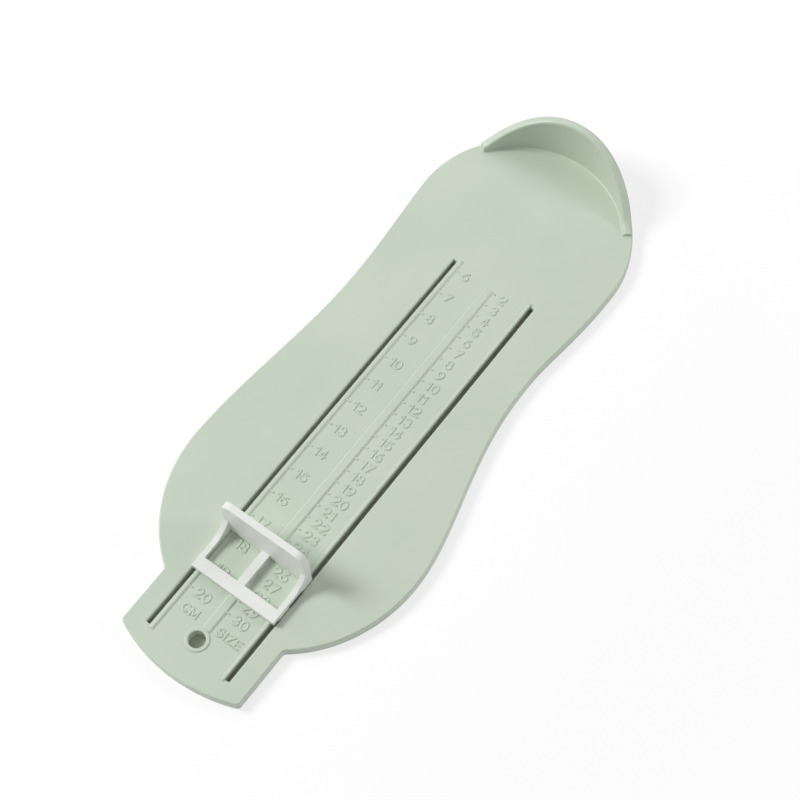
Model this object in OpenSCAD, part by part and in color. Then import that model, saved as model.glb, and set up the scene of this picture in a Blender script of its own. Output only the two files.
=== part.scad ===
// Foot measuring device: a sole-shaped board with a heel cup and a toe slider that runs in two slots.
// Stations are distances in mm from the scale's zero, at the inner face of the heel cup, to the toe.
// The board lies flat on z = 0, the numerals read upright from the toe end, and +Y points to the heel.

/* [Board] */
// Width of the board at its widest, across the toes
board_w = 89; // [87:0.5:93]
// How far the slot axis lies to the right of the board's middle
axis_x = 1.1; // [0:0.1:2]
// Station of the tongue's far end, at the middle of its arc
tongue_end = 225.8; // [222:0.1:240]
// Height of the board's edge above the table
board_h = 4; // [3.8:0.1:6]
// Thickness of the sole plate
plate_t = 1.8; // [1.4:0.1:2]
// Thickness of the skirt that goes down round the plate
skirt_t = 1.2; // [0.9:0.1:1.5]
// Radius of the sole plate's rounded top edge
edge_r = 0.5; // [0.3:0.1:1.2]
// Station of the widest place, across the toes
toe_s = 157.5; // [152:0.5:162]
// Length of the toe curve's half ellipse, from the widest place on
toe_round = 49.7; // [49:0.1:54]
// Station of the waist on the left
waist_left_s = 85; // [78:1:95]
// Half-width of the waist on the left of the slot axis
waist_left = 40.2; // [37:0.1:42]
// Station of the waist on the right
waist_right_s = 80; // [75:1:90]
// Half-width of the waist on the right of the slot axis
waist_right = 30.8; // [28:0.1:33]
// Half-width of the tongue
tongue_w = 23.4; // [20:0.1:26]
// Radius of the tongue's end arc
tongue_arc_r = 60; // [50:1:90]
// Radius of the tongue's two corners
tongue_corner_r = 1.6; // [1.6:0.1:4]
// How far the inner corner beside the tongue is rounded, along each side
shoulder_round = 1; // [0.8:0.1:2.5]

/* [Heel cup] */
// Outer radius of the heel
heel_r = 38.6; // [36:0.1:41]
// Station of the heel's centre
heel_s = 36; // [33:0.1:39]
// Sideways place of the heel's centre from the slot axis
heel_x = -4.6; // [-6:0.1:-2]
// Thickness of the cup's wall
cup_t = 3.2; // [2.8:0.1:4]
// Height of the cup's rim above the sole plate, at the back of the heel
cup_h = 18.5; // [10:0.1:24]
// Slope of the plane that cuts the rim, as rise over run
rim_slope = 1.19; // [0.9:0.01:1.5]
// Turn of the rim's slope about the heel's centre, towards the left
cup_turn = 3.2; // [-5:0.1:5]
// Angle at the heel's centre from the back of the heel to each end of the rim
cup_end = 55; // [50:0.5:60]
// Height of the small step at each end of the rim
cup_step = 0.8; // [0.4:0.1:2]
// Height over which the slope runs out softly into the step
rim_soft = 2.4; // [1:0.1:4]
// Radius of the rim's outer edge
rim_outer_r = 1.4; // [0.8:0.1:1.6]
// Radius of the rim's inner edge
rim_inner_r = 0.9; // [0.4:0.1:1.1]
// Radius of the hollow where the cup meets the sole plate
cup_fillet = 0.5; // [0.2:0.1:0.8]
// Draft of the cup's inner face, from the rim to the plate
cup_draft = 0.1; // [0.05:0.05:0.3]

/* [Slots and scale] */
// Distance between the two slots' centre lines
slot_gap = 31.45; // [30:0.05:36]
// Width of a slot
slot_w = 1.6; // [1.5:0.05:2]
// Station of the slots' heel ends
slot_start = 56.8; // [54:0.1:60]
// Station of the slots' toe ends
slot_stop = 217; // [215:0.1:218]
// Height of the running ribs and the centre band above the plate
rib_h = 0.5; // [0.3:0.05:0.8]
// Width of the running rib beside each slot
rib_w = 1.05; // [0.8:0.05:1.6]
// How far each running rib goes on past the slot's ends
rib_over = 1; // [0.5:0.1:2]
// Width of the raised centre band
band_w = 3; // [2:0.1:5]
// Width of a raised scale mark
mark_w = 0.45; // [0.3:0.05:0.6]
// Length of a centimetre mark, from the left running rib
cm_mark = 1.4; // [0.8:0.1:2]
// Length of a half-centimetre mark, from the centre band
half_mark = 1.1; // [0.6:0.1:1.5]
// Height of the scale marks above the plate
mark_h = 0.35; // [0.2:0.05:0.45]
// First station of the scale, in centimetres
scale_from = 6; // [6:1:10]
// Last station of the scale, in centimetres
scale_to = 20; // [18:1:20]

/* [Hanging hole] */
// Station of the hanging hole
hole_s = 212.4; // [210:0.1:214]
// Diameter of the hanging hole
hole_d = 5.6; // [4:0.1:6]
// Outer diameter of the raised ring round the hole
ring_d = 8.2; // [7:0.1:9]
// Height of the ring above the plate
ring_h = 0.4; // [0.2:0.05:0.5]

/* [Underside] */
// Thickness of the stiffening ribs
web_t = 1.2; // [0.8:0.1:1.6]
// Distance between the cross ribs
web_pitch = 26; // [20:1:40]
// Height above the table at which the ribs end, so that the board rests on its skirt
web_foot = 0.4; // [0.3:0.1:0.8]
// Free way beside each slot for the slider's hooks
hook_way = 2.4; // [2:0.1:4]

/* [Slider] */
// Reading of the slider, at the stop's heel-side face
reading = 175.8; // [60:0.1:198]
// Length of the slider along the scale
slider_l = 19.2; // [18:0.1:24]
// Thickness of the upright toe stop
stop_t = 2.4; // [1.6:0.1:3.5]
// Height of the toe stop above its own underside
stop_h = 17.9; // [14:0.1:24]
// Radius of the toe stop's upper corners
stop_corner_r = 3.8; // [1:0.1:6]
// Width of the front bar along the scale
bar_w = 4.4; // [3:0.1:6]
// Thickness of the front bar and the mid bar
bar_t = 2; // [1.2:0.1:3]
// Width of the mid bar
mid_w = 3; // [2:0.1:5]
// Thickness of the side cheeks
cheek_t = 1.95; // [1.4:0.05:3]
// Height of the cheeks above the bars where they meet the toe stop
cheek_rise = 5.2; // [3:0.1:8]
// Radius of the cheeks' hollow upper edge
cheek_arc_r = 9; // [8.5:0.1:14]
// Free play between the slider and the board, on each side
play = 0.15; // [0.1:0.01:0.2]
// Gap between the slider and what it runs on, above and below the plate
lift = 0.1; // [0.05:0.01:0.15]
// Length of each snap leg along the slot
leg_l = 5; // [3:0.1:6]
// How far the toe-side legs stand back from the slider's front
leg_back = 2.7; // [2:0.1:3.5]
// How far a hook reaches under the plate beside the slot
hook_reach = 0.8; // [0.5:0.05:1]
// Height of a hook
hook_h = 1.1; // [0.8:0.05:1.3]

/* [Hidden] */

green = [0.74, 0.79, 0.71];
white = [0.91, 0.91, 0.89];

// the frame's origin is the middle of the board's outline, on the table
zero_y = (tongue_end + heel_s - heel_r) / 2;
top_z = board_h;
under_z = board_h - plate_t;
// half-widths across the toes, from the slot axis
toe_left = board_w / 2 + axis_x;
toe_right = board_w / 2 - axis_x;
// length of a centimetre on the scale
cm_length = 10;

// the outline has a point about every step_l along its sides and every step_a round its arcs
step_l = 4;
step_a = 4;
rim_step_a = 3;
corner_step_a = 15;
// overlap between joined shapes, and how far a cutting shape stands out of what it cuts
eps = 0.2;
past = 1;

// ---- outline -------------------------------------------------------------------------------------
function ease(t) = t * t * (3 - 2 * t);
function mix(a, b, t) = a + (b - a) * t;
// S-shaped stretch from half-width w0 at station s0 to w1 at s1; late > 1 holds w0 for longer
function stretch(s, s0, w0, s1, w1, late) = mix(w0, w1, ease(pow((s - s0) / (s1 - s0), late)));

// how late each stretch swings over: heel to waist and waist to toe, on the left and on the right
waist_late_left = 0.8;
toe_late_left = 1;
waist_late_right = 1.3;
toe_late_right = 1.2;
function left_side(s) = s < waist_left_s
    ? stretch(s, heel_s, heel_r - heel_x, waist_left_s, waist_left, waist_late_left)
    : stretch(s, waist_left_s, waist_left, toe_s, toe_left, toe_late_left);
function right_side(s) = s < waist_right_s
    ? stretch(s, heel_s, heel_r + heel_x, waist_right_s, waist_right, waist_late_right)
    : stretch(s, waist_right_s, waist_right, toe_s, toe_right, toe_late_right);

// angle at which the toe ellipse of half-width a meets the tongue's side, and the arc's number of steps,
// which is the same on both sides
function meet_angle(a) = acos(tongue_w / a);
toe_steps = round(meet_angle(toe_left) / step_a);
function toe_point(a, turn) = [a * cos(turn), toe_s + toe_round * sin(turn)];
// a quadratic curve rounds the inner corner c between the directions u, coming in, and v, going out
function corner(c, u, v, t) = (1 - t) * (1 - t) * (c - u * shoulder_round) + 2 * t * (1 - t) * c
    + t * t * (c + v * shoulder_round);
function unit(v) = v / norm(v);
function ellipse_way(a) = unit([-a * sin(meet_angle(a)), toe_round * cos(meet_angle(a))]);

// tongue: the end arc's centre, and where each corner circle sits inside the side and the arc
arc_s = tongue_end - tongue_arc_r;
corner_x = tongue_w - tongue_corner_r;
corner_s = arc_s + sqrt(pow(tongue_arc_r - tongue_corner_r, 2) - pow(corner_x, 2));
corner_turn = asin(corner_x / (tongue_arc_r - tongue_corner_r));

// one side from the heel to the middle of the tongue's end, as [half-width, station]
function side_points(a, side) =
    let (
        n = round((toe_s - heel_s) / step_l),
        m = meet_angle(a),
        c = toe_point(a, m),
        back = shoulder_round / norm([a * sin(m), toe_round * cos(m)]) * 180 / PI
    )
    concat(
        [for (i = [0 : n - 1])
            let (s = mix(heel_s, toe_s, i / n)) [side == 0 ? left_side(s) : right_side(s), s]],
        [for (i = [0 : toe_steps - 1]) toe_point(a, mix(0, m - back, i / toe_steps))],
        [for (i = [0 : 4]) corner(c, ellipse_way(a), [0, 1], i / 4)],
        [for (t = [0 : corner_step_a : 90 - corner_turn])
            [corner_x + tongue_corner_r * cos(t), corner_s + tongue_corner_r * sin(t)]],
        [for (i = [0 : 5]) let (t = corner_turn * (1 - i / 6))
            [tongue_arc_r * sin(t), arc_s + tongue_arc_r * cos(t)]]
    );

// heel arc: t is the angle from the back of the heel, positive towards the left
function heel_point(t) = [heel_x - heel_r * sin(t), heel_s - heel_r * cos(t)];
// an inclined plane cuts the rim and runs out softly into the step above the plate
function plane_height(t) = cup_h - cup_step - rim_slope * heel_r * (1 - cos(t - cup_turn));
function rim_height(t) = let (h = plane_height(t)) cup_step + (h + sqrt(h * h + rim_soft * rim_soft)) / 2;
// columns of the rim from right to left, as [angle, rim height]; the first and the last lie close to
// their neighbours and flat on the plate, which makes the step
step_near = 0.3;
rim_count = ceil(cup_end / rim_step_a);
rim_columns = concat(
    [[-cup_end - step_near, 0]],
    [for (i = [-rim_count : rim_count]) let (t = cup_end * i / rim_count) [t, rim_height(t)]],
    [[cup_end + step_near, 0]]
);
// the part of the arc without a rim, from the rim's end to the side
low_from = cup_end + step_near;
low_steps = ceil((90 - low_from) / step_a);
low_arc = [for (i = [1 : low_steps - 1]) mix(low_from, 90, i / low_steps)];

left_pts = side_points(toe_left, 0);
right_pts = side_points(toe_right, 1);
plain = concat(
    [for (t = low_arc) heel_point(t)],
    [for (p = left_pts) [-p[0], p[1]]],
    [[0, tongue_end]],
    [for (i = [len(right_pts) - 1 : -1 : 0]) right_pts[i]],
    [for (i = [len(low_arc) - 1 : -1 : 0]) heel_point(-low_arc[i])]
);
// the whole outline in x and y, counter-clockwise from above: the plain edge, then the rim's columns
outline = [for (p = concat(plain, [for (c = rim_columns) heel_point(c[0])])) to_xy(p)];
first = len(plain);
tip = len(low_arc) + len(left_pts);
count = len(outline);
rims = len(rim_columns);
function to_xy(p) = [axis_x + p[0], zero_y - p[1]];
function rim_at(i) = i < first ? 0 : rim_columns[i - first][1];

// ---- skin: the board's edge and heel cup as sections stood up on the outline ------------------------
// A section's points are [distance in from the outline, height]. Every column has the outer ones, from
// the table up and over the rounded edge; the rim's columns go on down the inside to the plate. A column
// whose rim is 0 has those inner points flat on the plate.
function outer_section(rim) =
    let (r = rim > 0 ? rim_outer_r : edge_r)
    concat([[0, 0]], [for (t = [0 : 30 : 90]) [r * (1 - cos(t)), top_z + rim - r * (1 - sin(t))]]);
function inner_section(rim) =
    let (ri = min(rim_inner_r, rim / 2), rf = min(cup_fillet, rim / 2))
    concat(
        [for (t = [0 : 45 : 90]) [cup_t - rim_inner_r * (1 - sin(t)), top_z + rim - ri * (1 - cos(t))]],
        [for (t = [0 : 45 : 90])
            [cup_t + cup_draft + cup_fillet * (1 - cos(t)), top_z + rf * (1 - sin(t))]]
    );
outer_rows = len(outer_section(0));
inner_rows = len(inner_section(0));

// inward normal of the outline at point i, and a point of the section standing there
function around(i) = (i + count) % count;
function way(i) = unit(outline[around(i + 1)] - outline[around(i)]);
function inward(i) = let (d = unit(way(i - 1) + way(i))) [-d[1], d[0]];
normals = [for (i = [0 : count - 1]) inward(i)];
function stand(i, q) = let (p = outline[i] + normals[i] * q[0]) [p[0], p[1], q[1]];
// indices of a point in an outer row, and in an inner row at rim column c
function outer_at(row, i) = row * count + around(i);
function inner_at(row, c) = outer_rows * count + row * rims + c;

module board_skin() {
    outers = [for (i = [0 : count - 1]) outer_section(rim_at(i))];
    inners = [for (c = rim_columns) inner_section(c[1])];
    points = concat(
        [for (k = [0 : outer_rows - 1]) for (i = [0 : count - 1]) stand(i, outers[i][k])],
        [for (k = [0 : inner_rows - 1]) for (c = [0 : rims - 1]) stand(first + c, inners[c][k])]
    );
    // two triangles between the columns a-b below and c-d above
    function patch(a, b, c, d) = [[a, c, d], [a, d, b]];
    outside = [for (k = [0 : outer_rows - 2]) for (i = [0 : count - 1])
        each patch(outer_at(k, i), outer_at(k, i + 1), outer_at(k + 1, i), outer_at(k + 1, i + 1))];
    crest = [for (c = [0 : rims - 2])
        each patch(outer_at(outer_rows - 1, first + c), outer_at(outer_rows - 1, first + c + 1),
            inner_at(0, c), inner_at(0, c + 1))];
    inside = [for (k = [0 : inner_rows - 2]) for (c = [0 : rims - 2])
        each patch(inner_at(k, c), inner_at(k, c + 1), inner_at(k + 1, c), inner_at(k + 1, c + 1))];
    // the underside is a ladder of triangles across the board from the tongue's tip to the back of the heel
    under = [for (i = [0 : count / 2 - 1])
        for (t = patch(outer_at(0, tip + i), outer_at(0, tip + count - i),
            outer_at(0, tip + i + 1), outer_at(0, tip + count - i - 1)))
            if (t[0] != t[2] && t[1] != t[2]) t];
    // the sole's flat top runs round the plain edge, in along the rim's last column, round the foot of
    // the cup and out again along the rim's first column
    sole = [concat(
        [inner_at(inner_rows - 1, 0)],
        [for (k = [inner_rows - 2 : -1 : 0]) inner_at(k, 0)],
        [for (i = [first : -1 : 0]) outer_at(outer_rows - 1, i)],
        [outer_at(outer_rows - 1, count - 1)],
        [for (k = [0 : inner_rows - 1]) inner_at(k, rims - 1)],
        [for (c = [rims - 2 : -1 : 1]) inner_at(inner_rows - 1, c)]
    )];
    polyhedron(points = points, faces = concat(outside, crest, inside, under, sole));
}

// ---- board ---------------------------------------------------------------------------------------
module at_station(s) {
    translate([axis_x, zero_y - s, 0]) children();
}
// a bar on the slot axis side from station a to b, from x0 to x1 and z0 to z1
module bar(a, b, x0, x1, z0, z1) {
    translate([axis_x + x0, zero_y - b, z0]) cube([x1 - x0, b - a, z1 - z0]);
}
slot_in = slot_gap / 2 - slot_w / 2;
slot_out = slot_gap / 2 + slot_w / 2;
// the stiffening ribs keep clear of the slots by hook_way
web_out = slot_out + hook_way;
web_in = slot_in - hook_way;

module slots() {
    for (m = [0, 1]) translate([2 * axis_x * m, 0, 0]) mirror([m, 0, 0])
        bar(slot_start, slot_stop, slot_in, slot_out, -past, top_z + past);
}
// the same, flat: from x0 to x1 and from station a to b
module web(x0, a, x1, b) {
    translate([axis_x + x0, zero_y - b]) square([x1 - x0, b - a]);
}
// stiffening ribs seen from below: long ribs outside the hooks' way and a lattice between the slots
module rib_lines() {
    cross_from = slot_start - web_pitch / 2;
    for (x = [-web_out - web_t, -web_in, -web_t / 2, web_in - web_t, web_out])
        web(x, heel_s - heel_r, x + web_t, tongue_end);
    web(-board_w, cross_from, board_w, cross_from + web_t);
    for (s = [cross_from + web_pitch : web_pitch : tongue_end - web_pitch]) {
        web(-board_w, s, -web_out, s + web_t);
        web(-web_in, s, web_in, s + web_t);
        web(web_out, s, board_w, s + web_t);
    }
    at_station(hole_s) circle(d = ring_d + 2 * web_t, $fn = 48);
}
module inside_skirt() {
    polygon([for (i = [0 : count - 1]) outline[i] + normals[i] * skirt_t]);
}
// pockets between the ribs, and the recess that ends the ribs above the table
module pockets() {
    translate([0, 0, -past]) linear_extrude(under_z + past) difference() {
        inside_skirt();
        rib_lines();
    }
}
module foot_recess() {
    translate([0, 0, -past]) linear_extrude(web_foot + past) inside_skirt();
}
// everything raised on the sole is drawn flat and stood up from just below its top
module raised(h) {
    translate([0, 0, top_z - eps]) linear_extrude(h + eps) children();
}
module running_ribs() {
    for (m = [0, 1]) translate([2 * axis_x * m, 0]) mirror([m, 0])
        web(slot_in - rib_w, slot_start - rib_over, slot_in + eps, slot_stop + rib_over);
    web(-band_w / 2, scale_from * cm_length - mark_w, band_w / 2, hole_s - ring_d / 2 + eps);
}
module marks() {
    for (s = [scale_from * cm_length : cm_length : scale_to * cm_length])
        web(rib_w - slot_in - eps, s - mark_w / 2, rib_w - slot_in + cm_mark, s + mark_w / 2);
    for (s = [scale_from * cm_length : cm_length / 2 : scale_to * cm_length])
        web(band_w / 2 - eps, s - mark_w / 2, band_w / 2 + half_mark, s + mark_w / 2);
}
module measuring_board() {
    color(green) difference() {
        union() {
            board_skin();
            raised(rib_h) running_ribs();
            raised(mark_h) marks();
            raised(ring_h) at_station(hole_s) circle(d = ring_d, $fn = 64);
        }
        pockets();
        foot_recess();
        slots();
        at_station(hole_s) translate([0, 0, -past])
            cylinder(d = hole_d, h = top_z + ring_h + 2 * past, $fn = 64);
    }
}

// ---- slider --------------------------------------------------------------------------------------
foot_z = top_z + rib_h + lift;
half_w = slot_out - play;
leg_t = slot_w - 2 * play;
hook_top = under_z - lift;
// height of a hook's slanted lead-in, as a share of its reach
lead_share = 0.7;
front_s = reading + slider_l;
stop_front = reading + stop_t;
bar_back = front_s - bar_w;
bar_top = foot_z + bar_t;

module toe_stop() {
    at_station(stop_front) translate([0, stop_t, foot_z]) rotate([90, 0, 0]) linear_extrude(stop_t) {
        translate([-half_w, 0]) square([2 * half_w, stop_h - stop_corner_r]);
        translate([stop_corner_r - half_w, 0]) square([2 * (half_w - stop_corner_r), stop_h]);
        for (x = [stop_corner_r - half_w, half_w - stop_corner_r])
            translate([x, stop_h - stop_corner_r]) circle(r = stop_corner_r, $fn = 64);
    }
}
// outline of a cheek seen from the side: y to the toe from the stop's toe-side face
module cheek_side() {
    run = sqrt(pow(cheek_arc_r, 2) - pow(cheek_arc_r - cheek_rise, 2));
    difference() {
        translate([-eps, 0]) square([bar_back - stop_front + 2 * eps, bar_t + cheek_rise]);
        translate([run, bar_t + cheek_arc_r]) circle(r = cheek_arc_r, $fn = 96);
        translate([run, bar_t]) square([slider_l, cheek_arc_r]);
    }
}
module cheek() {
    at_station(stop_front) translate([half_w, 0, foot_z]) rotate([90, 0, -90]) linear_extrude(cheek_t)
        cheek_side();
}
// snap leg whose heel-side face is at station s - leg_l: its outline in x and z, pushed along the slot
module leg(s) {
    lead = hook_reach * lead_share;
    at_station(s) translate([half_w, leg_l, 0]) rotate([90, 0, 0]) linear_extrude(leg_l) polygon([
        [-leg_t, foot_z + eps], [-leg_t, hook_top - hook_h], [0, hook_top - hook_h],
        [hook_reach, hook_top - hook_h + lead], [hook_reach, hook_top], [0, hook_top], [0, foot_z + eps]]);
}
module toe_slider() {
    color(white) union() {
        toe_stop();
        bar(bar_back, front_s, -half_w, half_w, foot_z, bar_top);
        bar(stop_front - eps, bar_back + eps, -mid_w / 2, mid_w / 2, foot_z, bar_top);
        for (m = [0, 1]) translate([2 * axis_x * m, 0, 0]) mirror([m, 0, 0]) {
            cheek();
            leg(reading + leg_l);
            leg(front_s - leg_back);
        }
    }
}

measuring_board();
toe_slider();
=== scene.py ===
"""Looks of a foot measuring device: a sole-shaped board with a heel cup and a toe slider in two slots."""
import math

import bmesh
import bpy
import numpy as np
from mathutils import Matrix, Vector
from mathutils.geometry import delaunay_2d_cdt

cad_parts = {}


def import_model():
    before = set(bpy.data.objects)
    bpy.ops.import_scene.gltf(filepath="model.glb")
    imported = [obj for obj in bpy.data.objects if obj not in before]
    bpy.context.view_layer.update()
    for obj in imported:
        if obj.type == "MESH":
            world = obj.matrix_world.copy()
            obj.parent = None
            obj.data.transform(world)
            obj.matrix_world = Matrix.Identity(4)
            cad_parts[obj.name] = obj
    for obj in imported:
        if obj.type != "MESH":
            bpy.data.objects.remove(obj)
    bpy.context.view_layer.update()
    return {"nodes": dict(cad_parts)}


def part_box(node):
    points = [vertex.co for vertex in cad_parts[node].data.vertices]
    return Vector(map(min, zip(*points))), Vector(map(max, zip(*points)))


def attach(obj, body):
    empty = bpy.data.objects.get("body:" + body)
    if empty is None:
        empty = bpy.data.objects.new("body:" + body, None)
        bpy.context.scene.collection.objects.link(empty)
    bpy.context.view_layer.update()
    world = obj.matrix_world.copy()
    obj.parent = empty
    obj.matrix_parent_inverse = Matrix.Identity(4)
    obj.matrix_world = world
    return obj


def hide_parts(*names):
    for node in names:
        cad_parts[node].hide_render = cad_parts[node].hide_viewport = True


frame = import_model()

# ---- sizes, in millimetres, as in the CAD model ------------------------------------------------------
# A station s is the distance from the scale's zero towards the toe; x is measured from the slot axis.
MM = 0.001
BOARD_H = 4.0
PLATE_T = 1.8
SKIRT_T = 1.2
EDGE_R = 0.5
TONGUE_END = 225.8
TONGUE_W = 23.4
TONGUE_ARC_R = 60.0
TONGUE_CORNER_R = 1.6
SHOULDER_ROUND = 1.0
TOE_S = 157.5
TOE_LEFT, TOE_RIGHT = 45.6, 43.4
TOE_ROUND = 49.7
WAIST_LEFT_S, WAIST_LEFT = 85.0, 40.2
WAIST_RIGHT_S, WAIST_RIGHT = 80.0, 30.8
HEEL_R, HEEL_S, HEEL_X = 38.6, 36.0, -4.6
CUP_T, CUP_H, CUP_SLOPE, CUP_TURN, CUP_END = 3.2, 18.5, 1.19, 3.2, 55.0
CUP_STEP, RIM_SOFT, RIM_OUTER_R, RIM_INNER_R, CUP_FILLET, CUP_DRAFT = 0.8, 2.4, 1.4, 0.9, 0.5, 0.1
SLOT_GAP, SLOT_W = 31.45, 1.6
SLOT_START, SLOT_STOP = 56.8, 217.0
RIB_H, RIB_OVER = 0.5, 1.0
MARK_W, MARK_H, CM_MARK, HALF_MARK = 0.45, 0.35, 1.4, 1.1
# the soft forms that the CAD model has as plain bars and sharp edges
BEAD_SLOPE = 0.8
BEAD_LEFT_W, BEAD_LEFT_ROUND = 2.05, 1.2
BEAD_RIGHT_W, BEAD_RIGHT_ROUND = 1.45, 0.2
BAND_LEFT, BAND_RIGHT, BAND_SLOPE = -1.6, 2.1, 0.75
SLOT_SOFT, SLOT_FALL = 0.62, 0.4
SCALE_FROM, SCALE_TO = 6, 20
HOLE_S, HOLE_D, RING_D, RING_H = 212.4, 5.6, 8.2, 0.4
WEB_T, WEB_PITCH, WEB_FOOT, HOOK_WAY = 1.2, 26.0, 0.4, 2.4

UNDER_Z = BOARD_H - PLATE_T
SLOT_IN = SLOT_GAP / 2 - SLOT_W / 2
SLOT_OUT = SLOT_GAP / 2 + SLOT_W / 2

# the frame's own box says where the slot axis and the scale's zero lie
board_low, board_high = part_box("measuring_board")
AXIS_X = board_low.x / MM + TOE_LEFT
ZERO_Y = board_low.y / MM + TONGUE_END


def row(x, s, z):
    """A point at x and station s, z above the table, in the row frame in metres."""
    return Vector(((AXIS_X + x) * MM, (ZERO_Y - s) * MM, z * MM))


# ---- the board's outline -------------------------------------------------------------------------------
def ease(t):
    return t * t * (3 - 2 * t)


def mix(a, b, t):
    return a + (b - a) * t


def stretch(s, s0, w0, s1, w1, late=1.0):
    """Half-width on an S-shaped stretch from w0 at station s0 to w1 at s1; late above 1 holds w0 longer."""
    return mix(w0, w1, ease(((s - s0) / (s1 - s0)) ** late))


def side_width(s, side):
    """Half-width between the heel's centre and the widest place; side is -1 on the left."""
    if side < 0:
        if s < WAIST_LEFT_S:
            return stretch(s, HEEL_S, HEEL_R - HEEL_X, WAIST_LEFT_S, WAIST_LEFT, 0.8)
        return stretch(s, WAIST_LEFT_S, WAIST_LEFT, TOE_S, TOE_LEFT)
    if s < WAIST_RIGHT_S:
        return stretch(s, HEEL_S, HEEL_R + HEEL_X, WAIST_RIGHT_S, WAIST_RIGHT, 1.3)
    return stretch(s, WAIST_RIGHT_S, WAIST_RIGHT, TOE_S, TOE_RIGHT, 1.2)


def side_points(side):
    """One side from the heel to the tongue's tip, as (x, s)."""
    a = TOE_LEFT if side < 0 else TOE_RIGHT
    pts = [(side_width(s, side), s) for s in np.linspace(HEEL_S, TOE_S, 150)[:-1]]
    meet = math.acos(TONGUE_W / a)
    reach = SHOULDER_ROUND / math.hypot(a * math.sin(meet), TOE_ROUND * math.cos(meet))
    pts += [
        (a * math.cos(t), TOE_S + TOE_ROUND * math.sin(t)) for t in np.linspace(0, meet - reach, 80)[:-1]
    ]
    # the inner corner beside the tongue is a quadratic curve between the ellipse and the side
    corner = np.array([a * math.cos(meet), TOE_S + TOE_ROUND * math.sin(meet)])
    way_in = np.array([-a * math.sin(meet), TOE_ROUND * math.cos(meet)])
    way_in /= np.linalg.norm(way_in)
    way_out = np.array([0.0, 1.0])
    for t in np.linspace(0, 1, 12):
        p = (1 - t) ** 2 * (corner - way_in * SHOULDER_ROUND) + 2 * t * (1 - t) * corner
        pts.append(tuple(p + t * t * (corner + way_out * SHOULDER_ROUND)))
    # the tongue's corner circle sits inside its side and its end arc
    arc_s = TONGUE_END - TONGUE_ARC_R
    cx = TONGUE_W - TONGUE_CORNER_R
    cs = arc_s + math.sqrt((TONGUE_ARC_R - TONGUE_CORNER_R) ** 2 - cx**2)
    turn = math.asin(cx / (TONGUE_ARC_R - TONGUE_CORNER_R))
    pts += [(TONGUE_W, s) for s in np.linspace(pts[-1][1], cs, 16)[1:-1]]
    pts += [
        (cx + TONGUE_CORNER_R * math.cos(t), cs + TONGUE_CORNER_R * math.sin(t))
        for t in np.linspace(0, math.pi / 2 - turn, 14)[:-1]
    ]
    pts += [(TONGUE_ARC_R * math.sin(t), arc_s + TONGUE_ARC_R * math.cos(t)) for t in np.linspace(turn, 0, 40)[:-1]]
    return [(side * x, s) for x, s in pts]


def heel_point(t):
    """A point of the heel's arc; t is the angle from the back of the heel in radians, positive to the left."""
    return (HEEL_X - HEEL_R * math.sin(t), HEEL_S - HEEL_R * math.cos(t))


def rim_height(t):
    """Height of the rim above the plate: an inclined plane that runs out softly into the end step."""
    h = CUP_H - CUP_STEP - CUP_SLOPE * HEEL_R * (1 - math.cos(t - math.radians(CUP_TURN)))
    return CUP_STEP + (h + math.hypot(h, RIM_SOFT)) / 2


RIM_END = math.radians(CUP_END)
# the step at each end of the rim falls to the plate over this angle
STEP_TURN = math.radians(0.45)


def rim_columns():
    """(angle, rim height) from right to left, with the step at both ends."""
    fall = [(u, 1 - ease(u)) for u in np.linspace(0, 1, 7)[1:]]
    low = [(-RIM_END - u * STEP_TURN, k * rim_height(-RIM_END)) for u, k in reversed(fall)]
    rim = [(a, rim_height(a)) for a in np.linspace(-RIM_END, RIM_END, 151)]
    high = [(RIM_END + u * STEP_TURN, k * rim_height(RIM_END)) for u, k in fall]
    return low + rim + high


def outline():
    """The whole outline counter-clockwise from above as points, inward normals and rim heights."""
    rim = rim_columns()
    left_low = [heel_point(t) for t in np.linspace(rim[-1][0], math.pi / 2, 50)[1:-1]]
    right_low = [heel_point(t) for t in np.linspace(-math.pi / 2, rim[0][0], 50)[1:-1]]
    plain = left_low + side_points(-1) + [(0.0, TONGUE_END)] + side_points(1)[::-1] + right_low
    pts = np.array(plain + [heel_point(t) for t, _ in rim])
    heights = np.array([0.0] * len(plain) + [h for _, h in rim])
    # stations grow towards -Y, so the inward normal is taken in (x, -s)
    ahead = np.roll(pts, -1, axis=0) - pts
    ahead /= np.linalg.norm(ahead, axis=1)[:, None]
    along = ahead + np.roll(ahead, 1, axis=0)
    along /= np.linalg.norm(along, axis=1)[:, None]
    inward = np.stack([along[:, 1], -along[:, 0]], axis=1)
    return pts, inward, heights


def arc_profile(cx, cz, r, a0, a1, steps):
    """Points (distance, height) on an arc, with angles in degrees."""
    return [
        (cx + r * math.cos(math.radians(a)), cz + r * math.sin(math.radians(a))) for a in np.linspace(a0, a1, steps)
    ]


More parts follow.
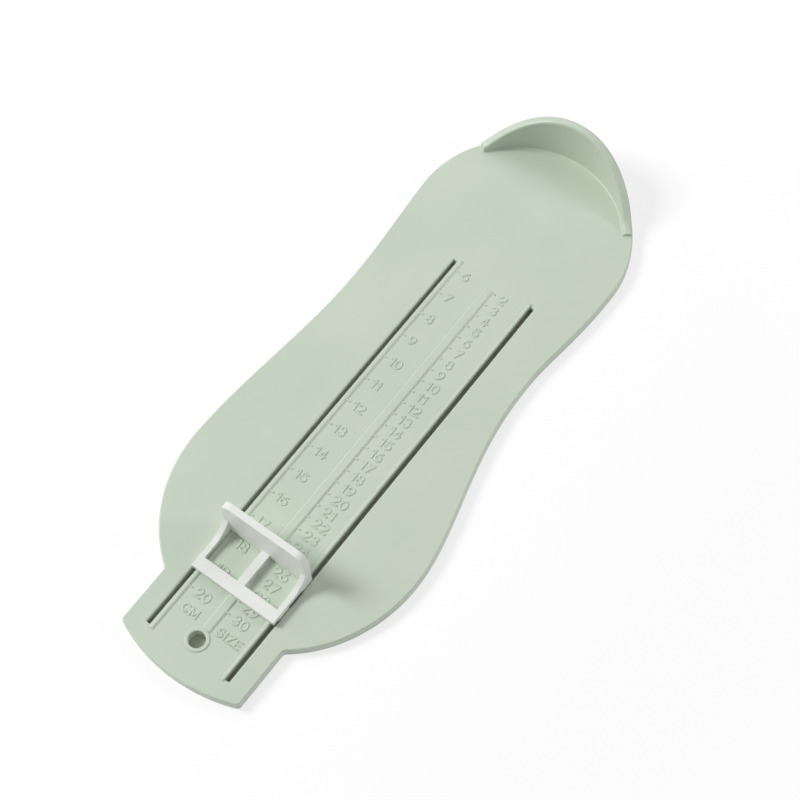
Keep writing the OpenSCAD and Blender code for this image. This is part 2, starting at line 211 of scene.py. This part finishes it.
def edge_section(h):
    """The board's edge from its underside round the skirt and the rim to the plate, for rim height h."""
    foot_r, corner_r = 0.15, 0.2
    under = [(SKIRT_T + corner_r + 0.1, UNDER_Z)]
    under += arc_profile(SKIRT_T + corner_r, UNDER_Z - corner_r, corner_r, 90, 180, 4)
    foot = arc_profile(SKIRT_T - foot_r, foot_r, foot_r, 0, -90, 4) + arc_profile(foot_r, foot_r, foot_r, 270, 180, 4)
    top = BOARD_H + h
    edge_r = mix(EDGE_R, RIM_OUTER_R, ease(min(1.0, h / CUP_STEP)))
    outer = arc_profile(edge_r, top - edge_r, edge_r, 180, 90, 10)
    ri, rf = min(RIM_INNER_R, h / 2), min(CUP_FILLET, h / 2)
    if h < 1e-6:
        inner = [(EDGE_R + 0.04 * (i + 1), BOARD_H) for i in range(14)]
    else:
        inner = [(CUP_T - RIM_INNER_R * (1 - math.sin(t)), top - ri * (1 - math.cos(t)))
                 for t in np.linspace(0, math.pi / 2, 7)]
        inner += [(CUP_T + CUP_DRAFT + CUP_FILLET * (1 - math.cos(t)), BOARD_H + rf * (1 - math.sin(t)))
                  for t in np.linspace(0, math.pi / 2, 6)]
        inner += [(CUP_T + CUP_DRAFT + CUP_FILLET + 0.3, BOARD_H)]
    return under + foot + outer + inner


# ---- mesh helpers ----------------------------------------------------------------------------------------
class Skin:
    """Vertices and faces in the row frame, gathered from rings and flat regions."""

    def __init__(self):
        self.verts = []
        self.faces = []

    def ring(self, points):
        """Adds points (x, s, z) and returns their indices."""
        first = len(self.verts)
        self.verts += [row(*p) for p in points]
        return list(range(first, len(self.verts)))

    def bridge(self, a, b, closed=True, flip=False):
        """Quads between two rings of equal length."""
        n = len(a)
        for i in range(n if closed else n - 1):
            j = (i + 1) % n
            quad = (a[i], a[j], b[j], b[i])
            self.faces.append(quad[::-1] if flip else quad)

    def region(self, outer, holes, up):
        """A flat face inside ring outer and outside the hole rings, made of triangles."""
        loops = [outer] + holes
        index = [i for loop in loops for i in loop]
        flat = [Vector((self.verts[i].x / MM, self.verts[i].y / MM)) for i in index]
        edges, start = [], 0
        for loop in loops:
            n = len(loop)
            edges += [(start + i, start + (i + 1) % n) for i in range(n)]
            start += n
        _, _, faces, orig, _, _ = delaunay_2d_cdt(flat, edges, [], 2, 1e-6)
        kept = [index[o[0]] for o in orig]
        for f in faces:
            a, b, c = (flat[orig[i][0]] for i in f)
            mid = (a + b + c) / 3
            if any(inside(mid, [flat[k] for k in range(*span)]) for span in hole_spans(loops)):
                continue
            ccw = (b - a).cross(c - a) > 0
            tri = tuple(kept[i] for i in f)
            self.faces.append(tri if ccw == up else tri[::-1])

    def build(self, name):
        mesh = bpy.data.meshes.new(name)
        mesh.from_pydata([tuple(v) for v in self.verts], [], self.faces)
        mesh.validate()
        return place(name, mesh)


def hole_spans(loops):
    """Index ranges of the hole loops, which follow the outer loop."""
    start = len(loops[0])
    for loop in loops[1:]:
        yield start, start + len(loop)
        start += len(loop)


def inside(p, polygon):
    """True if the flat point p is inside the polygon."""
    hit = False
    for a, b in zip(polygon, polygon[1:] + polygon[:1]):
        if (a.y > p.y) != (b.y > p.y) and p.x < (b.x - a.x) * (p.y - a.y) / (b.y - a.y) + a.x:
            hit = not hit
    return hit


def place(name, mesh):
    """Puts the mesh into the scene as an object of the same name."""
    obj = bpy.data.objects.new(name, mesh)
    bpy.context.scene.collection.objects.link(obj)
    return obj


def smooth(obj):
    """Smooth shading in which large faces stay flat: vertex normals weighted by face area."""
    mesh = obj.data
    bm = bmesh.new()
    bm.from_mesh(mesh)
    bmesh.ops.recalc_face_normals(bm, faces=bm.faces)
    bm.to_mesh(mesh)
    bm.free()
    mesh.shade_smooth()
    normals = np.zeros((len(mesh.vertices), 3))
    for p in mesh.polygons:
        for v in p.vertices:
            normals[v] += np.array(p.normal) * p.area
    length = np.linalg.norm(normals, axis=1)
    normals[length > 0] /= length[length > 0][:, None]
    mesh.normals_split_custom_set_from_vertices(normals.tolist())
    return obj


def soft_box(bm, x0, x1, s0, s1, z0, z1, r, steps=3):
    """A box with rounded edges between two corners, added to bm."""
    made = bmesh.ops.create_cube(bm, size=1.0)["verts"]
    low, high = row(min(x0, x1), max(s0, s1), z0), row(max(x0, x1), min(s0, s1), z1)
    for v in made:
        v.co = Vector([low[i] if v.co[i] < 0 else high[i] for i in range(3)])
    edges = list({e for v in made for e in v.link_edges})
    bmesh.ops.bevel(bm, geom=edges, offset=r * MM, segments=steps, profile=0.5, affect="EDGES")


def boxes(name, specs, r, steps=3):
    """One piece made of rounded boxes."""
    bm = bmesh.new()
    for spec in specs:
        soft_box(bm, *spec, r, steps)
    mesh = bpy.data.meshes.new(name)
    bm.to_mesh(mesh)
    bm.free()
    return smooth(place(name, mesh))


# ---- board pieces --------------------------------------------------------------------------------------
def slot_loop(side, d, steps=5):
    """A slot's outline in the plane, grown by d, with rounded corners."""
    r = 0.2 + d
    x0, x1 = SLOT_IN - d, SLOT_OUT + d
    s0, s1 = SLOT_START - d, SLOT_STOP + d
    pts = []
    for cx, cs, a0 in ((x1 - r, s0 + r, -90), (x1 - r, s1 - r, 0), (x0 + r, s1 - r, 90), (x0 + r, s0 + r, 180)):
        for a in np.linspace(a0, a0 + 90, steps):
            pts.append((cx + r * math.cos(math.radians(a)), cs + r * math.sin(math.radians(a))))
    return [(side * x, s) for x, s in pts]


def hole_loop(r, steps=64):
    """A circle of radius r about the hanging hole."""
    return [
        (r * math.cos(2 * math.pi * i / steps), HOLE_S + r * math.sin(2 * math.pi * i / steps)) for i in range(steps)
    ]


def measuring_board():
    """The board's skin: the edge swept round the outline, with slots and hole let into both flat faces."""
    pts, inward, heights = outline()
    sections = np.array([edge_section(h) for h in heights])
    skin = Skin()
    rings = []
    for k in range(sections.shape[1]):
        at = pts + inward * sections[:, k, 0][:, None]
        rings.append(skin.ring([(x, s, z) for (x, s), z in zip(at, sections[:, k, 1])]))
    for a, b in zip(rings, rings[1:]):
        skin.bridge(a, b)
    top_holes, under_holes = [], []
    for side in (-1, 1):
        # the slots' upper edges fall in a shallow curve, SLOT_SOFT wide and SLOT_FALL deep
        section = [(SLOT_SOFT + 0.1, BOARD_H)]
        section += [(SLOT_SOFT * (1 - math.cos(t)), BOARD_H - SLOT_FALL * (1 - math.sin(t)))
                    for t in np.linspace(math.pi / 2, 0, 8)]
        section += [(0.0, UNDER_Z + 0.1), (0.1, UNDER_Z), (0.25, UNDER_Z)]
        loops = [skin.ring([(x, s, z) for x, s in slot_loop(side, d)]) for d, z in section]
        for a, b in zip(loops, loops[1:]):
            skin.bridge(a, b)
        top_holes.append(loops[0])
        under_holes.append(loops[-1])
    # the shell's own hole is hidden in the hanging ring's wall; the rings beside it keep the plate's shading flat
    hidden_r = (HOLE_D + RING_D) / 4
    wall = [(hidden_r + 0.3, BOARD_H), (hidden_r, BOARD_H), (hidden_r, UNDER_Z), (hidden_r + 0.3, UNDER_Z)]
    loops = [skin.ring([(x, s, z) for x, s in hole_loop(r)]) for r, z in wall]
    for a, b in zip(loops, loops[1:]):
        skin.bridge(a, b)
    skin.region(rings[-1], top_holes + [loops[0]], up=True)
    skin.region(rings[0], under_holes + [loops[-1]], up=False)
    return smooth(skin.build("board_shell"))


def swell(x0, x1, rise, steps=7):
    """Points (x, height) on an S-shaped slope from the plate at x0 up to rise at x1."""
    return [(mix(x0, x1, u), rise * ease(u)) for u in np.linspace(0, 1, steps)]


def ridge(skin, section, s0, s1):
    """A raised bar along the scale with cross-section (x, height above the plate) and soft ends."""
    sunk = -SLOT_FALL - 0.15
    ends = [(0.0, 0.0), (0.1, 0.45), (0.25, 0.75), (0.45, 0.93), (0.7, 1.0)]
    stations = [(s0 + d, k) for d, k in ends] + [(s1 - d, k) for d, k in reversed(ends)]
    count = len(section)
    rings = []
    for s, k in stations:
        top = [(x, s, BOARD_H + k * h) for x, h in section]
        foot = [(x, s, BOARD_H + sunk) for x, _ in reversed(section)]
        rings.append(skin.ring(top + foot))
    for a, b in zip(rings, rings[1:]):
        skin.bridge(a, b)
    for i in range(count - 1):
        end = [i, i + 1, 2 * count - 2 - i, 2 * count - 1 - i]
        skin.faces.append(tuple(rings[0][j] for j in end))
        skin.faces.append(tuple(rings[-1][j] for j in reversed(end)))


def running_ribs():
    """A rounded bead on the inner side of each slot, upright along the slot's wall."""
    skin = Skin()
    for side, width, crest in ((-1, BEAD_LEFT_W, BEAD_LEFT_ROUND), (1, BEAD_RIGHT_W, BEAD_RIGHT_ROUND)):
        wall = [(SLOT_IN + 0.01 - crest * (1 - math.cos(t)), RIB_H * (0.3 + 0.7 * math.sin(t)))
                for t in np.linspace(0, math.pi / 2, 10)]
        foot = SLOT_IN - width
        section = wall + swell(foot, foot + BEAD_SLOPE, RIB_H)[::-1]
        ridge(skin, [(side * x, h) for x, h in section], SLOT_START - RIB_OVER, SLOT_STOP + RIB_OVER)
    return smooth(skin.build("running_ribs"))


def centre_band():
    """The flat raised band between the two scales."""
    skin = Skin()
    left = swell(BAND_LEFT, BAND_LEFT + BAND_SLOPE, RIB_H)
    right = swell(BAND_RIGHT, BAND_RIGHT - BAND_SLOPE, RIB_H)[::-1]
    flat = [(left[-1][0] + 0.1, RIB_H), (right[0][0] - 0.1, RIB_H)]
    ridge(skin, left + flat + right, SCALE_FROM * 10 - MARK_W, HOLE_S - RING_D / 2 + 0.2)
    return smooth(skin.build("centre_band"))


def scale_marks():
    """A mark at each centimetre beside the left rib, and at each half centimetre beside the band."""
    skin = Skin()
    start = BEAD_LEFT_W - SLOT_IN
    for cm in range(SCALE_FROM, SCALE_TO + 1):
        stroke(skin, [(start - 0.4, 10 * cm), (start + CM_MARK - 0.5, 10 * cm)], MARK_W + 0.25, MARK_H)
    for half in range(2 * SCALE_FROM, 2 * SCALE_TO + 1):
        end = BAND_RIGHT + HALF_MARK - 0.4
        stroke(skin, [(BAND_RIGHT - 0.5, 5 * half), (end, 5 * half)], MARK_W + 0.25, MARK_H)
    return smooth(skin.build("scale_marks"))


def hanging_ring():
    """The raised ring and the boss below it, as one turned profile round the hole."""
    r0, r1 = HOLE_D / 2, RING_D / 2
    boss = r1 + WEB_T
    top = BOARD_H + RING_H
    profile = arc_profile(r0 + 0.3, top - 0.3, 0.3, 180, 90, 6)
    profile += arc_profile(r1 - 0.35, top - 0.35, 0.35, 90, 0, 6)
    profile += [(r1, BOARD_H - 0.3), (boss, UNDER_Z + 0.3)]
    profile += arc_profile(boss - 0.15, WEB_FOOT + 0.15, 0.15, 0, -90, 4)
    profile += arc_profile(r0 + 0.15, WEB_FOOT + 0.15, 0.15, 270, 180, 4)
    skin = Skin()
    loops = [skin.ring([(x, s, z) for x, s in hole_loop(r, 72)]) for r, z in profile]
    for a, b in zip(loops, loops[1:] + loops[:1]):
        skin.bridge(a, b)
    return smooth(skin.build("hanging_ring"))


def half_width(s, side):
    """Half-width of the outline at station s between the heel's centre and the tongue's end."""
    if s <= TOE_S:
        return side_width(s, side)
    a = TOE_LEFT if side < 0 else TOE_RIGHT
    across = a * math.sqrt(max(0.0, 1 - ((s - TOE_S) / TOE_ROUND) ** 2))
    return max(across, TONGUE_W)


def underside_ribs():
    """Five long ribs, of which two stand on each side of the hooks' ways, and the cross ribs between them."""
    specs = []
    web_out, web_in = SLOT_OUT + HOOK_WAY, SLOT_IN - HOOK_WAY
    z0, z1 = WEB_FOOT, UNDER_Z + 0.2
    bite = SKIRT_T - 0.3
    for x in (-web_out - WEB_T / 2, -web_in + WEB_T / 2, 0.0, web_in - WEB_T / 2, web_out + WEB_T / 2):
        s0 = HEEL_S - math.sqrt((HEEL_R - bite) ** 2 - (x - HEEL_X) ** 2)
        s1 = TONGUE_END - TONGUE_ARC_R + math.sqrt((TONGUE_ARC_R - bite) ** 2 - x**2)
        if x == 0.0:
            # the middle rib stops at the boss round the hanging hole
            specs.append((-WEB_T / 2, WEB_T / 2, s0, HOLE_S - RING_D / 2 - WEB_T / 2, z0, z1))
            specs.append((-WEB_T / 2, WEB_T / 2, HOLE_S + RING_D / 2 + WEB_T / 2, s1, z0, z1))
        else:
            specs.append((x - WEB_T / 2, x + WEB_T / 2, s0, s1, z0, z1))
    # the cross ribs start 0.08 further up than the long ones, so that no two faces share a plane
    low = z0 + 0.08
    s = SLOT_START - WEB_PITCH / 2
    while s <= TONGUE_END - WEB_PITCH:
        left, right = -half_width(s + WEB_T / 2, -1) + bite, half_width(s + WEB_T / 2, 1) - bite
        if s < SLOT_START:
            spans = [(left, right)]
        else:
            # the slider's hooks need the way beside each slot free
            spans = [(left, -web_out - 0.3), (-web_in + 0.3, web_in - 0.3), (web_out + 0.3, right)]
        specs += [(x0, x1, s, s + WEB_T, low, z1) for x0, x1 in spans]
        s += WEB_PITCH
    return boxes("underside_ribs", specs, 0.12, 2)


# ---- numerals and words: raised strokes with round ends ------------------------------------------------------
def bend(cx, cy, rx, ry, a0, a1, steps=13):
    """Points on an ellipse in a glyph's unit box, angles in degrees."""
    return [
        (cx + rx * math.cos(math.radians(a)), cy + ry * math.sin(math.radians(a))) for a in np.linspace(a0, a1, steps)
    ]


def loop(cx, cy, rx, ry, steps=24):
    return bend(cx, cy, rx, ry, 0, 360, steps + 1)


# each glyph is its width and its strokes in a box one unit high and one unit wide
GLYPHS = {
    "0": (1.0, [loop(0.5, 0.5, 0.5, 0.5)]),
    "1": (0.42, [[(0.0, 0.8), (1.0, 1.0)], [(1.0, 1.0), (1.0, 0.0)]]),
    "2": (1.0, [bend(0.5, 0.72, 0.48, 0.28, 170, -30) + [(0.0, 0.0)], [(0.0, 0.0), (1.0, 0.0)]]),
    "3": (1.0, [bend(0.46, 0.75, 0.42, 0.25, 150, -90), bend(0.46, 0.25, 0.5, 0.25, 90, -150)]),
    "4": (1.0, [[(0.72, 1.0), (0.0, 0.3)], [(0.0, 0.3), (1.0, 0.3)], [(0.72, 1.0), (0.72, 0.0)]]),
    "5": (1.0, [[(0.9, 1.0), (0.16, 1.0)], [(0.16, 1.0), (0.08, 0.55)], bend(0.45, 0.32, 0.52, 0.32, 135, -150)]),
    "6": (1.0, [bend(0.95, 0.3, 0.95, 0.7, 100, 180), loop(0.5, 0.3, 0.5, 0.3)]),
    "7": (1.0, [[(0.0, 1.0), (1.0, 1.0)], [(1.0, 1.0), (0.35, 0.0)]]),
    "8": (1.0, [loop(0.5, 0.76, 0.4, 0.24), loop(0.5, 0.26, 0.5, 0.26)]),
    "9": (1.0, [bend(0.05, 0.7, 0.95, 0.7, -80, 0), loop(0.5, 0.7, 0.5, 0.3)]),
    "C": (1.05, [bend(0.55, 0.5, 0.55, 0.5, 50, 310, 19)]),
    "M": (1.15, [[(0.0, 0.0), (0.0, 1.0)], [(0.0, 1.0), (0.5, 0.2)], [(0.5, 0.2), (1.0, 1.0)],
                 [(1.0, 1.0), (1.0, 0.0)]]),
    "S": (0.95, [bend(0.5, 0.75, 0.45, 0.25, 20, 270) + bend(0.5, 0.25, 0.48, 0.25, 90, -160)[1:]]),
    "I": (0.0, [[(0.0, 0.0), (0.0, 1.0)]]),
    "Z": (0.95, [[(0.0, 1.0), (1.0, 1.0)], [(1.0, 1.0), (0.0, 0.0)], [(0.0, 0.0), (1.0, 0.0)]]),
    "E": (0.85, [[(0.0, 0.0), (0.0, 1.0)], [(0.0, 1.0), (1.0, 1.0)], [(0.0, 0.5), (0.85, 0.5)],
                 [(0.0, 0.0), (1.0, 0.0)]]),
}
STROKE_W, STROKE_H = 0.88, 0.4
GLYPH_W, GLYPH_GAP = 2.1, 1.0


def stroke(skin, path, width=STROKE_W, height=STROKE_H):
    """One raised stroke along path, points (x, s): a low rounded ridge with round ends."""
    pts = np.array(path, float)
    closed = np.linalg.norm(pts[0] - pts[-1]) < 1e-6
    if closed:
        pts = pts[:-1]
        along = np.roll(pts, -1, axis=0) - np.roll(pts, 1, axis=0)
    else:
        along = np.gradient(pts, axis=0)
    along /= np.linalg.norm(along, axis=1)[:, None]
    across = np.stack([-along[:, 1], along[:, 0]], axis=1)
    # cross-section from one foot over the top to the other
    shape = [(width / 2 * u, BOARD_H + height * math.cos(math.pi / 2 * u)) for u in np.linspace(1, -1, 9)]
    sunk = BOARD_H - 0.2
    shape = [(width / 2, sunk)] + shape + [(-width / 2, sunk)]
    rings = [skin.ring([(*(p + n * w), z) for w, z in shape]) for p, n in zip(pts, across)]
    if closed:
        rings.append(rings[0])
    for a, b in zip(rings, rings[1:]):
        skin.bridge(a, b)
    if closed:
        return
    # each end is a half turn of half the cross-section about the path's last point
    half = len(shape) // 2
    for ring, p, n, d in ((rings[0], pts[0], across[0], -along[0]), (rings[-1], pts[-1], across[-1], along[-1])):
        quarter = shape[:half]
        previous = ring[:half]
        for a in np.radians(np.linspace(0, 180, 9)[1:-1]):
            side = n * math.cos(a) + d * math.sin(a)
            current = skin.ring([(*(p + side * w), z) for w, z in quarter])
            skin.bridge(previous, current, closed=False)
            skin.faces.append((previous[-1], current[-1], ring[half]))
            skin.faces.append((current[0], previous[0], ring[0]))
            previous = current
        last = list(reversed(ring))[:half]
        skin.bridge(previous, last, closed=False)
        skin.faces.append((previous[-1], last[-1], ring[half]))
        skin.faces.append((last[0], previous[0], ring[0]))


def label(skin, text, x, s, height, line=STROKE_W):
    """Text whose strokes start at x and whose middle is at station s, upright from the toe end."""
    h = height - line
    for c in text:
        width, strokes = GLYPHS[c]
        for path in strokes:
            stroke(skin, [(x + width * GLYPH_W * u, s + h / 2 - h * v) for u, v in path], line)
        x += width * GLYPH_W + GLYPH_GAP


NUMERAL_H = 3.8
# where numerals of one and of two digits start
LEFT_ONE, LEFT_TWO = -10.1, -10.2
RIGHT_ONE, RIGHT_TWO = 5.2, 4.9


def centimetre_numerals():
    skin = Skin()
    for cm in range(SCALE_FROM, SCALE_TO + 1):
        label(skin, str(cm), LEFT_ONE if cm < 10 else LEFT_TWO, 10 * cm + 0.2, NUMERAL_H)
    return smooth(skin.build("centimetre_numerals"))


def size_numerals():
    skin = Skin()
    for half in range(2 * SCALE_FROM, 2 * SCALE_TO + 1):
        size = half - 10
        label(skin, str(size), RIGHT_ONE if size < 10 else RIGHT_TWO, 5 * half + 0.4, NUMERAL_H)
    return smooth(skin.build("size_numerals"))


def scale_words():
    skin = Skin()
    label(skin, "CM", -10.5, 206.3, 3.4)
    label(skin, "SIZE", 3.5, 206.3, 3.4, 0.74)
    return smooth(skin.build("scale_words"))


# ---- slider --------------------------------------------------------------------------------------------
def toe_slider():
    """The slider's own solid with every edge rounded as a moulding's is."""
    mesh = frame["nodes"]["toe_slider"].data.copy()
    mesh.materials.clear()
    obj = place("toe_slider_shell", mesh)
    bm = bmesh.new()
    bm.from_mesh(mesh)
    bmesh.ops.remove_doubles(bm, verts=bm.verts, dist=0.002 * MM)
    bmesh.ops.dissolve_limit(bm, angle_limit=math.radians(0.5), verts=bm.verts, edges=bm.edges)
    bm.to_mesh(mesh)
    bm.free()
    bevel = obj.modifiers.new("rounding", "BEVEL")
    bevel.width = 0.42 * MM
    bevel.segments = 3
    bevel.limit_method = "ANGLE"
    bevel.angle_limit = math.radians(35)
    bpy.context.view_layer.update()
    final = bpy.data.meshes.new_from_object(obj.evaluated_get(bpy.context.evaluated_depsgraph_get()))
    obj.modifiers.clear()
    obj.data = final
    bpy.data.meshes.remove(mesh)
    return smooth(obj)


# ---- materials -------------------------------------------------------------------------------------------
def linear(r, g, b):
    """Linear colour from display values 0 to 255."""
    def one(v):
        v /= 255
        return v / 12.92 if v <= 0.04045 else ((v + 0.055) / 1.055) ** 2.4
    return (one(r), one(g), one(b), 1.0)


def plastic(name, light, dark, roughness, grain):
    """Satin moulded plastic: cloudy colour, fine grain and faint handling marks."""
    mat = bpy.data.materials.new(name)
    mat.use_nodes = True
    nodes, links = mat.node_tree.nodes, mat.node_tree.links
    shader = nodes["Principled BSDF"]
    shader.inputs["IOR"].default_value = 1.49
    coords = nodes.new("ShaderNodeTexCoord")
    cloud = nodes.new("ShaderNodeTexNoise")
    cloud.inputs["Scale"].default_value = 28.0
    cloud.inputs["Detail"].default_value = 3.0
    ramp = nodes.new("ShaderNodeValToRGB")
    ramp.color_ramp.elements[0].position = 0.3
    ramp.color_ramp.elements[0].color = dark
    ramp.color_ramp.elements[1].position = 0.7
    ramp.color_ramp.elements[1].color = light
    links.new(coords.outputs["Object"], cloud.inputs["Vector"])
    links.new(cloud.outputs["Fac"], ramp.inputs["Fac"])
    links.new(ramp.outputs["Color"], shader.inputs["Base Color"])
    smudge = nodes.new("ShaderNodeTexNoise")
    smudge.inputs["Scale"].default_value = 90.0
    smudge.inputs["Detail"].default_value = 4.0
    rough = nodes.new("ShaderNodeMapRange")
    rough.inputs["From Min"].default_value = 0.3
    rough.inputs["From Max"].default_value = 0.7
    rough.inputs["To Min"].default_value = roughness - 0.05
    rough.inputs["To Max"].default_value = roughness + 0.05
    links.new(coords.outputs["Object"], smudge.inputs["Vector"])
    links.new(smudge.outputs["Fac"], rough.inputs["Value"])
    links.new(rough.outputs["Result"], shader.inputs["Roughness"])
    fine = nodes.new("ShaderNodeTexNoise")
    fine.inputs["Scale"].default_value = 2600.0
    fine.inputs["Detail"].default_value = 2.0
    bump = nodes.new("ShaderNodeBump")
    bump.inputs["Strength"].default_value = grain
    bump.inputs["Distance"].default_value = 0.00002
    links.new(coords.outputs["Object"], fine.inputs["Vector"])
    links.new(fine.outputs["Fac"], bump.inputs["Height"])
    links.new(bump.outputs["Normal"], shader.inputs["Normal"])
    return mat


def paint(obj, mat):
    """Gives obj this one material."""
    obj.data.materials.clear()
    obj.data.materials.append(mat)
    return obj


# ---- stage, light and camera ---------------------------------------------------------------------------------
def seen_rays(nodes, links):
    """1 for rays of sight, mirror and glass, and 0 for light that passes between surfaces."""
    path = nodes.new("ShaderNodeLightPath")
    seen = path.outputs["Is Camera Ray"]
    for kind in ("Is Glossy Ray", "Is Transmission Ray"):
        either = nodes.new("ShaderNodeMath")
        either.operation = "MAXIMUM"
        links.new(seen, either.inputs[0])
        links.new(path.outputs[kind], either.inputs[1])
        seen = either.outputs[0]
    return seen


def floor_material(name, lit, shown, near, far):
    """Plain floor paint; it only looks white where it is seen, and puts no light of its own on the board."""
    mat = bpy.data.materials.new(name)
    mat.use_nodes = True
    nodes, links = mat.node_tree.nodes, mat.node_tree.links
    shader = nodes["Principled BSDF"]
    shader.inputs["Roughness"].default_value = 1.0
    shader.inputs["Specular IOR Level"].default_value = 0.0
    shader.inputs["Emission Color"].default_value = (1, 1, 1, 1)
    seen = seen_rays(nodes, links)
    tone = nodes.new("ShaderNodeMix")
    tone.data_type = "RGBA"
    tone.inputs["A"].default_value = lit
    tone.inputs["B"].default_value = shown
    links.new(seen, tone.inputs["Factor"])
    links.new(tone.outputs["Result"], shader.inputs["Base Color"])
    # the lamps reach only the middle of the floor, so its far part needs more to look as white
    coords = nodes.new("ShaderNodeTexCoord")
    away = nodes.new("ShaderNodeVectorMath")
    away.operation = "LENGTH"
    level = nodes.new("ShaderNodeMapRange")
    level.inputs["From Min"].default_value = 0.12
    level.inputs["From Max"].default_value = 1.40
    level.inputs["To Min"].default_value = near
    level.inputs["To Max"].default_value = far
    glow = nodes.new("ShaderNodeMath")
    glow.operation = "MULTIPLY"
    links.new(coords.outputs["Object"], away.inputs[0])
    links.new(away.outputs["Value"], level.inputs["Value"])
    links.new(level.outputs["Result"], glow.inputs[0])
    links.new(seen, glow.inputs[1])
    links.new(glow.outputs[0], shader.inputs["Emission Strength"])
    return mat


def stage():
    """A white floor; the patch under the board hardly glows, so that the slots stay dark, and is seen in olive as
    painted shade and painted green bounce light; its faint glow is painted light in the slots and the hole.
    """
    reach = 3000.0
    pts, inward, _ = outline()
    patch = [(x, s, 0.0) for x, s in pts + inward * SKIRT_T / 2]
    corners = [(-reach, reach, 0.0), (reach, reach, 0.0), (reach, -reach, 0.0), (-reach, -reach, 0.0)]
    around, under = Skin(), Skin()
    around.region(around.ring(corners), [around.ring(patch)], up=True)
    under.region(under.ring(patch), [], up=True)
    # the olive colour of the patch under the board is painted shade and painted green bounce light, seen through the
    # slots and the hole; its glow of 0.02 is painted light
    pale, soft, painted_shade_olive = (0.84, 0.84, 0.84, 1), (0.35, 0.35, 0.35, 1), (0.50, 0.53, 0.42, 1)
    paint(around.build("floor"), floor_material("floor_white", pale, soft, 0.68, 1.0))
    paint(under.build("floor_under"), floor_material("floor_shade", pale, painted_shade_olive, 0.02, 0.02))


SKY_LIGHT = 0.32


def world():
    """White where it is seen or mirrored, and a softer grey as a light."""
    scene_world = bpy.data.worlds.new("studio")
    bpy.context.scene.world = scene_world
    scene_world.use_nodes = True
    nodes, links = scene_world.node_tree.nodes, scene_world.node_tree.links
    background = nodes["Background"]
    background.inputs["Strength"].default_value = 1.0
    tone = nodes.new("ShaderNodeMix")
    tone.data_type = "RGBA"
    tone.inputs["A"].default_value = (SKY_LIGHT, SKY_LIGHT, SKY_LIGHT, 1)
    tone.inputs["B"].default_value = (1, 1, 1, 1)
    links.new(seen_rays(nodes, links), tone.inputs["Factor"])
    links.new(tone.outputs["Result"], background.inputs["Color"])


def lamp(name, place_at, size, power):
    """A round soft light that points at the middle of the board."""
    data = bpy.data.lights.new(name, "AREA")
    data.shape = "DISK"
    data.size = size
    data.energy = power
    obj = bpy.data.objects.new(name, data)
    bpy.context.scene.collection.objects.link(obj)
    obj.location = place_at
    obj.rotation_euler = (-Vector(place_at)).to_track_quat("-Z", "Y").to_euler()


def lights():
    """The key is high on the left, as the shadows in the photograph show."""
    lamp("key_light", (-0.87, -0.37, 0.90), 0.48, 10.9)
    lamp("fill_light", (-0.35, 0.60, 0.75), 0.60, 1.2)
    lamp("back_light", (0.82, 0.52, 0.44), 0.30, 2.1)


def camera():
    """The photograph's own place, turn and lens, fitted to the scale's marks and the outline."""
    data = bpy.data.cameras.new("camera")
    data.sensor_width = 36.0
    data.lens = 84.68
    obj = bpy.data.objects.new("camera", data)
    bpy.context.scene.collection.objects.link(obj)
    obj.location = (0.18009, -0.20675, 0.55106)
    obj.rotation_euler = [math.radians(a) for a in (26.5625, 1.7629, 37.0112)]
    bpy.context.scene.camera = obj


# ---- assembly ----------------------------------------------------------------------------------------------
bpy.context.scene.view_settings.view_transform = "Standard"
board_plastic = plastic("board_plastic", linear(203, 215, 198), linear(197, 210, 192), 0.38, 0.25)
slider_plastic = plastic("slider_plastic", linear(240, 242, 237), linear(236, 238, 232), 0.36, 0.2)

board_pieces = [measuring_board(), running_ribs(), centre_band(), scale_marks(), hanging_ring(),
                underside_ribs(), centimetre_numerals(), size_numerals(), scale_words()]
for piece in board_pieces:
    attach(paint(piece, board_plastic), "board")
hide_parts("measuring_board")

slider = toe_slider()
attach(paint(slider, slider_plastic), "slider")
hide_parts("toe_slider")

stage()
world()
lights()
camera()
